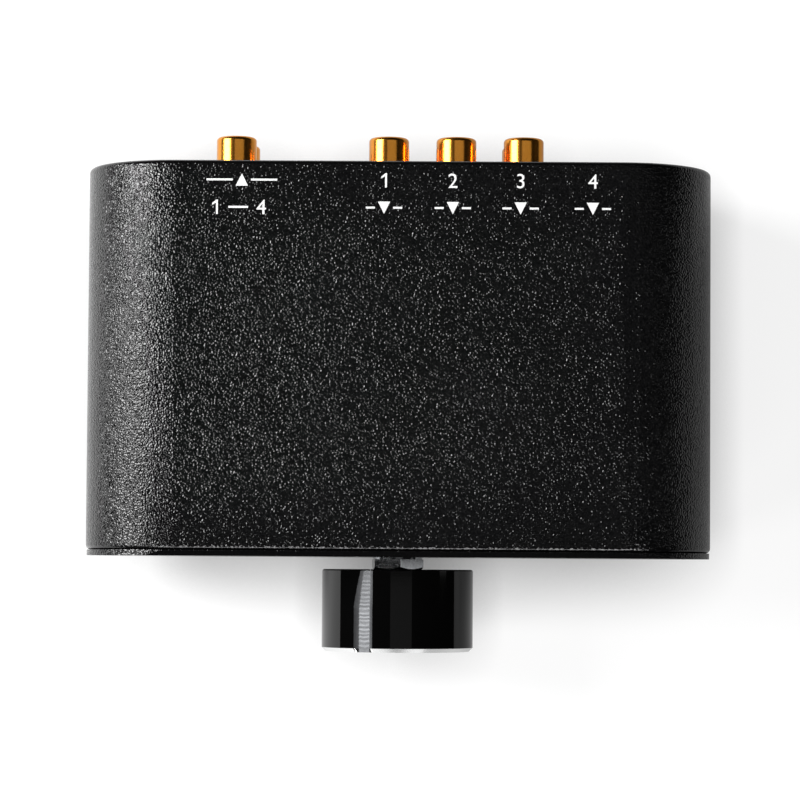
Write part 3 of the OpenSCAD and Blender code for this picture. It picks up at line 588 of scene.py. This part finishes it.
low, high = box_mm("block_screws")
small = pan_screw(BLOCK_R, BLOCK_SHANK_R, high[1] - low[1] - HEAD_H, BLOCK_CROSS)
block_x = [low[0] + BLOCK_R, high[0] - BLOCK_R - SOCKET_PITCH, high[0] - BLOCK_R]
set_screws("block_screws", small, [(x, AXIS_Z) for x in block_x], high[1] - HEAD_H, 1)

# %% [markdown]
# White ink marks the sockets on the lid and the switch's steps round the knob. Only plain numbers and
# arrow marks are printed: 1 to 4 at the inputs, each over an arrow that points in, and at the output an
# arrow that points out over the range of numbers. Ink is a skin of a few hundredths of a millimetre, so
# each mark is a flat outline with that thickness, made a mesh and then laid on the surface.

# %% Shapes of the print
INK_T = 0.02
NUMBER_H = 2.94
ARROW_TIP = 1.25
BAR_HALF_W, BAR_GAP = 0.2, 0.6
ONE = [(0.06, -0.5), (0.19, -0.5), (0.19, 0.5), (0.1, 0.5), (-0.2, 0.27), (-0.2, 0.12), (0.06, 0.3)]


def flat_mesh(curve):
    """Points and faces of a filled flat curve, as Blender meshes it; the curve itself is removed again."""
    curve.extrude = INK_T / 2
    holder = bpy.data.objects.new(curve.name, curve)
    mesh = bpy.data.meshes.new_from_object(holder)
    points = np.empty(len(mesh.vertices) * 3)
    mesh.vertices.foreach_get("co", points)
    faces = [list(polygon.vertices) for polygon in mesh.polygons]
    bpy.data.objects.remove(holder)
    bpy.data.curves.remove(curve)
    bpy.data.meshes.remove(mesh)
    return points.reshape(-1, 3), faces


def outline_shape(outlines):
    """Filled shape of several straight-sided outlines."""
    curve = bpy.data.curves.new("outline", "CURVE")
    curve.dimensions = "2D"
    curve.fill_mode = "BOTH"
    for corners in outlines:
        spline = curve.splines.new("POLY")
        spline.points.add(len(corners) - 1)
        spline.points.foreach_set("co", np.array([[x, y, 0, 1] for x, y in corners]).ravel())
        spline.use_cyclic_u = True
    return flat_mesh(curve)


def number_shape(digit):
    """Outline of a digit at the print's height, centred; the one gets the flag that its font lacks."""
    if digit == 1:
        return outline_shape([[(NUMBER_H * x, NUMBER_H * y) for x, y in ONE]])
    curve = bpy.data.curves.new("number", "FONT")
    curve.body = str(digit)
    points, faces = flat_mesh(curve)
    low, high = points.min(axis=0), points.max(axis=0)
    points[:, :2] = (points[:, :2] - (low + high)[:2] / 2) * NUMBER_H / (high - low)[1]
    return points, faces


def bar(start, end):
    """Outline of a bar along X."""
    return [(start, -BAR_HALF_W), (end, -BAR_HALF_W), (end, BAR_HALF_W), (start, BAR_HALF_W)]


def arrow_shape(width, way):
    """Arrow head between two bars; way is 1 for an arrow towards the sockets and -1 for one from them."""
    head = [(-ARROW_TIP, -way * ARROW_TIP), (ARROW_TIP, -way * ARROW_TIP), (0, way * ARROW_TIP)]
    bars = [bar(side * (ARROW_TIP + BAR_GAP), side * width / 2) for side in (-1, 1)]
    return outline_shape([head] + bars)


print("numbers of", NUMBER_H, "mm and arrows of", 2 * ARROW_TIP, "mm")

# %% [markdown]
# The marks lie in two rows on the lid, counted from the sleeve's rear edge, each in front of its socket.
# The numbers round the knob stand at the four places to which its pointer turns.

# %% Print on the lid and round the knob
INPUT_X = (-3.1, 10.9, 24.7, 39.4)
OUTPUT_X, FIRST_X, DASH_X, LAST_X = -32.1, -37.5, -32.8, -28.1
FIRST_ROW, SECOND_ROW = 4.1, 9.7
INPUT_ARROW_W, OUTPUT_ARROW_W = 7.4, 14.4
DASH_HALF_LENGTH = 2
STEP_DEG = 45
DIAL_R, DIAL_SCALE = 18.5, 0.8
INK = grained_finish(
    "screen_printed_white_ink", "#f0f0ee", "#ffffff", 0.35, 0.05, Roughness=0.6, IOR=1.5)


def print_on(name, shape, place, upright=False, scale=1.0):
    """Lays a flat shape on the lid, or upright on the front plate, with its middle at place."""
    points, faces = shape
    x, y, z = (points * [scale, scale, 1]).T
    laid = np.stack([x, -z, y] if upright else [x, y, z], axis=-1) + np.array(place)
    mesh = bpy.data.meshes.new(name)
    mesh.from_pydata((laid * MM).tolist(), [], faces)
    mesh.materials.append(INK)
    made = bpy.data.objects.new(name, mesh)
    bpy.context.scene.collection.objects.link(made)
    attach(made, "case")


def lid(x, back):
    """Place on the lid, at x and at a distance from the sleeve's rear edge."""
    return (x, sleeve_high[1] - back, sleeve_high[2])


for number, x in enumerate(INPUT_X, start=1):
    print_on(f"print_input_{number}", number_shape(number), lid(x, FIRST_ROW))
    print_on(f"print_input_{number}_arrow", arrow_shape(INPUT_ARROW_W, -1), lid(x, SECOND_ROW))
dash = outline_shape([bar(-DASH_HALF_LENGTH, DASH_HALF_LENGTH)])
print_on("print_output_arrow", arrow_shape(OUTPUT_ARROW_W, 1), lid(OUTPUT_X, FIRST_ROW))
print_on("print_output_first", number_shape(1), lid(FIRST_X, SECOND_ROW))
print_on("print_output_to", dash, lid(DASH_X, SECOND_ROW))
print_on("print_output_last", number_shape(4), lid(LAST_X, SECOND_ROW))

plate_front = box_mm("front_panel")[0][1]
for number in range(1, 5):
    turn = math.radians(POINTER_DEG + (number - 2) * STEP_DEG)
    place = (DIAL_R * math.sin(turn), plate_front, AXIS_Z + DIAL_R * math.cos(turn))
    print_on(f"print_dial_{number}", number_shape(number), place, upright=True, scale=DIAL_SCALE)
print("white print on the lid and round the knob")

# %% [markdown]
# Every other piece keeps its CAD shape and gets its finish through the record, which says which slot of
# material each node takes.

# %% Finishes of the CAD nodes
FINISHES = {**METALS, **MOULDED, "coated_metal": SAND_COAT, "knob_black": KNOB_GLOSS}
for row in frame["record"]["subparts"]:
    nodes[row["node"]].material_slots[0].material = FINISHES[row["material_slot"]]

# %% [markdown]
# A coated edge is never sharp: the cut end of the sleeve is deburred and the powder flows over it. A small
# rounding gives it the thin line of light by which the eye reads a real edge. Only the two outer end edges
# are rounded, because the rails and screw channels inside are too narrow for it. So geometry nodes first
# mark the sharp edges that lie on the sleeve's outside, and a Bevel then rounds what is marked. The CAD
# mesh is loose triangles, so a Weld joins them before both.

# %% Rounded edges
EDGE_R = 1.0
SIDE_FLAT = 3.0
WALL = 2.0
WELD_M = 1e-6
corner_r = (sleeve_high[2] - sleeve_low[2] - SIDE_FLAT) / 2


def far_from_axis(tree):
    """Whether a point is farther from the nearest axis of the round corners than the middle of the wall
    is. The place along the sleeve doesn't count."""
    place = add(tree, "GeometryNodeInputPosition", {}).outputs[0]
    quarter = vector_maths(tree, "ABSOLUTE", vector_maths(tree, "SUBTRACT", place, sleeve_middle * MM))
    axis = sleeve_high - sleeve_middle - corner_r
    past_axis = vector_maths(tree, "SUBTRACT", quarter, axis * MM)
    corner = vector_maths(tree, "MAXIMUM", past_axis, (0, 0, 0))
    across = vector_maths(tree, "MULTIPLY", corner, (1, 0, 1))
    distance = add(tree, "ShaderNodeVectorMath", {0: across}, operation="LENGTH").outputs["Value"]
    return add(tree, "FunctionNodeCompare", {
        0: distance, 1: (corner_r - WALL / 2) * MM}, operation="GREATER_THAN").outputs[0]


def mark_outside():
    """Modifier nodes that give the sharp edges on the outside a bevel weight of one."""
    tree = bpy.data.node_groups.new("mark_outside", "GeometryNodeTree")
    for way in ("INPUT", "OUTPUT"):
        tree.interface.new_socket("Geometry", in_out=way, socket_type="NodeSocketGeometry")
    source = add(tree, "NodeGroupInput", {})
    bend = add(tree, "GeometryNodeInputMeshEdgeAngle", {}).outputs["Unsigned Angle"]
    sharp = add(tree, "FunctionNodeCompare", {0: bend, 1: SHARP}, operation="GREATER_THAN").outputs[0]
    both = add(tree, "FunctionNodeBooleanMath", {0: far_from_axis(tree), 1: sharp}, operation="AND")
    marked = add(tree, "GeometryNodeStoreNamedAttribute", {
        "Geometry": source.outputs[0], "Selection": both.outputs[0], "Name": "bevel_weight_edge",
        "Value": 1.0}, domain="EDGE")
    add(tree, "NodeGroupOutput", {0: marked.outputs[0]})
    return tree


sleeve = nodes["case_sleeve"]
weld = sleeve.modifiers.new("weld", "WELD")
weld.merge_threshold = WELD_M
mark = sleeve.modifiers.new("mark_outside", "NODES")
mark.node_group = mark_outside()
edge = sleeve.modifiers.new("rounded_edges", "BEVEL")
edge.limit_method = "WEIGHT"
edge.width = EDGE_R * MM
edge.segments = 4
edge.use_clamp_overlap = False
edge.harden_normals = True
print("end edges of the sleeve rounded to", EDGE_R, "mm")

# %% [markdown]
# The floor is a plain white table. The lamps light it as they light the box, and a soft glow that only
# cameras and reflections see lifts it to white. This glow is painted light, made weaker where the box
# closes off the sky above it, so the gentle shadow under the right side and the front is a painted shadow
# that adds no light on the object. In reflections the painted glow falls from left to right, as on a table
# beside a window.

# %% Table
FLOOR_R = 0.3
FLOOR_GLOW = 0.8
MIRRORED_LEFT, MIRRORED_RIGHT = 0.9, 0.2
MIRRORED_REACH = 0.06
SHADE_REACH = 0.017
SHADE_POWER = 1.1
RIM_POINTS = 96


def seen_directly(tree):
    """One for camera and transmitted rays, nought for the rest."""
    path = add(tree, "ShaderNodeLightPath", {})
    return maths(tree, "MAXIMUM", path.outputs["Is Camera Ray"], path.outputs["Is Transmission Ray"])


def seen_mirrored(tree):
    """For glossy rays a painted light that falls from left to right, standing in for the window's light on
    the table's left half, and nought for the rest."""
    path = add(tree, "ShaderNodeLightPath", {})
    place = add(tree, "ShaderNodeTexCoord", {}).outputs["Object"]
    across = add(tree, "ShaderNodeSeparateXYZ", {"Vector": place}).outputs["X"]
    part = add(tree, "ShaderNodeMapRange", {
        "Value": across, "From Min": -MIRRORED_REACH, "From Max": MIRRORED_REACH,
        "To Min": MIRRORED_LEFT, "To Max": MIRRORED_RIGHT})
    return maths(tree, "MULTIPLY", path.outputs["Is Glossy Ray"], part.outputs[0])


def white_table():
    finish = bpy.data.materials.new("white_table_top")
    finish.use_nodes = True
    tree = finish.node_tree
    tree.nodes.clear()
    # Painted shadow: the table's glow is dimmed by ambient occlusion where the box covers the table.
    sky = add(tree, "ShaderNodeAmbientOcclusion", {"Distance": SHADE_REACH}, samples=12)
    glow = maths(tree, "MULTIPLY", maths(tree, "POWER", sky.outputs["AO"], SHADE_POWER), FLOOR_GLOW)
    seen = maths(tree, "MAXIMUM", seen_directly(tree), seen_mirrored(tree))
    light = add(tree, "ShaderNodeEmission", {"Strength": maths(tree, "MULTIPLY", glow, seen)})
    matt = add(tree, "ShaderNodeBsdfDiffuse", {"Color": linear("#9a9a9a")})
    total = add(tree, "ShaderNodeAddShader", {0: matt.outputs[0], 1: light.outputs[0]})
    add(tree, "ShaderNodeOutputMaterial", {"Surface": total.outputs[0]})
    return finish


turn = np.linspace(0, 2 * np.pi, RIM_POINTS, endpoint=False)
rim = np.stack([FLOOR_R * np.cos(turn), FLOOR_R * np.sin(turn), 0 * turn], axis=-1)
table_mesh = bpy.data.meshes.new("table_top")
table_mesh.from_pydata(rim.tolist(), [], [list(range(len(rim)))])
table_mesh.materials.append(white_table())
table_top = bpy.data.objects.new("table_top", table_mesh)
bpy.context.scene.collection.objects.link(table_top)
table_top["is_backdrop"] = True
print("white table of", FLOOR_R * 2, "m")

# %% [markdown]
# A glossy black box shows what stands round it, so the room is dark, and the lamps alone draw its edges.
# Only the camera sees a pale grey past the table's rim, as of a page.

# %% Room
ROOM_LIGHT, PAGE_LIGHT = 0.02, 1.0

studio = bpy.data.worlds.new("dark_studio")
bpy.context.scene.world = studio
studio.use_nodes = True
tree = studio.node_tree
tree.nodes.clear()
level = add(tree, "ShaderNodeMapRange", {
    "Value": seen_directly(tree), "To Min": ROOM_LIGHT, "To Max": PAGE_LIGHT})
sky = add(tree, "ShaderNodeBackground", {"Strength": level.outputs[0]})
add(tree, "ShaderNodeOutputWorld", {"Surface": sky.outputs[0]})
print("dark room with a light of", ROOM_LIGHT)

# %% [markdown]
# A tall window stands on the left, in two parts: the bright one reaches from beside the sockets to far
# behind the box, and a weaker one stands in front. Between them is a dark gap, which the nut's left facet
# mirrors. A sheet stands high in front and draws a line of light along the front edge. Two dim sheets hang
# overhead: one makes the faint band on the knob's top, and the other gives the gold barrels their middle
# tone. A white card lies low before the knob, and a small one stands on the right. Each lamp is described
# by how bright its face looks, because that is what a shiny surface shows; its power follows from its area.

# %% Lamps
def soft_lamp(name, place, aim, size, brightness):
    """Rectangular lamp with place, aim and size in metres: power is brightness times pi times area."""
    data = bpy.data.lights.new(name, "AREA")
    data.shape = "RECTANGLE"
    data.size, data.size_y = size
    data.energy = brightness * math.pi * size[0] * size[1]
    lamp = bpy.data.objects.new(name, data)
    bpy.context.scene.collection.objects.link(lamp)
    lamp.location = place
    lamp.rotation_euler = (Vector(place) - Vector(aim)).to_track_quat("Z", "Y").to_euler()
    print(name, round(data.energy, 2), "W")


soft_lamp("window_left", (-0.705, 0.26, 0.485), (0, 0.26, 0.0), (0.42, 0.54), 18.0)
soft_lamp("window_left_front", (-0.705, -0.40, 0.485), (0, -0.40, 0.0), (0.30, 0.54), 6.0)
soft_lamp("sheet_overhead", (0.135, -0.10, 1.2), (0.135, -0.10, 0), (0.69, 0.12), 0.18)
soft_lamp("sheet_behind", (0.40, 0.22, 1.1), (0.40, 0.22, 0), (1.2, 0.14), 0.75)
soft_lamp("sheet_in_front", (0.0, -0.69, 0.50), (0, -0.03, 0.03), (0.8, 0.20), 7.5)
soft_lamp("card_in_front", (0.0, -0.45, -0.05), (0, -0.05, 0.03), (0.6, 0.16), 1.0)
soft_lamp("card_right", (0.57, 0.0073, 0.20), (0, 0.0073, 0.03), (0.0855, 0.12), 1.2)

# %% [markdown]
# The bounds of the dressed part are printed in millimetres. The dressed part has to fit where the plain
# one fits. Only the ink stands proud of the CAD part, by half its thickness.

# %% Close
low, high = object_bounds()
print("dressed part of", [round(v / MM, 2) for v in high - low], "mm")
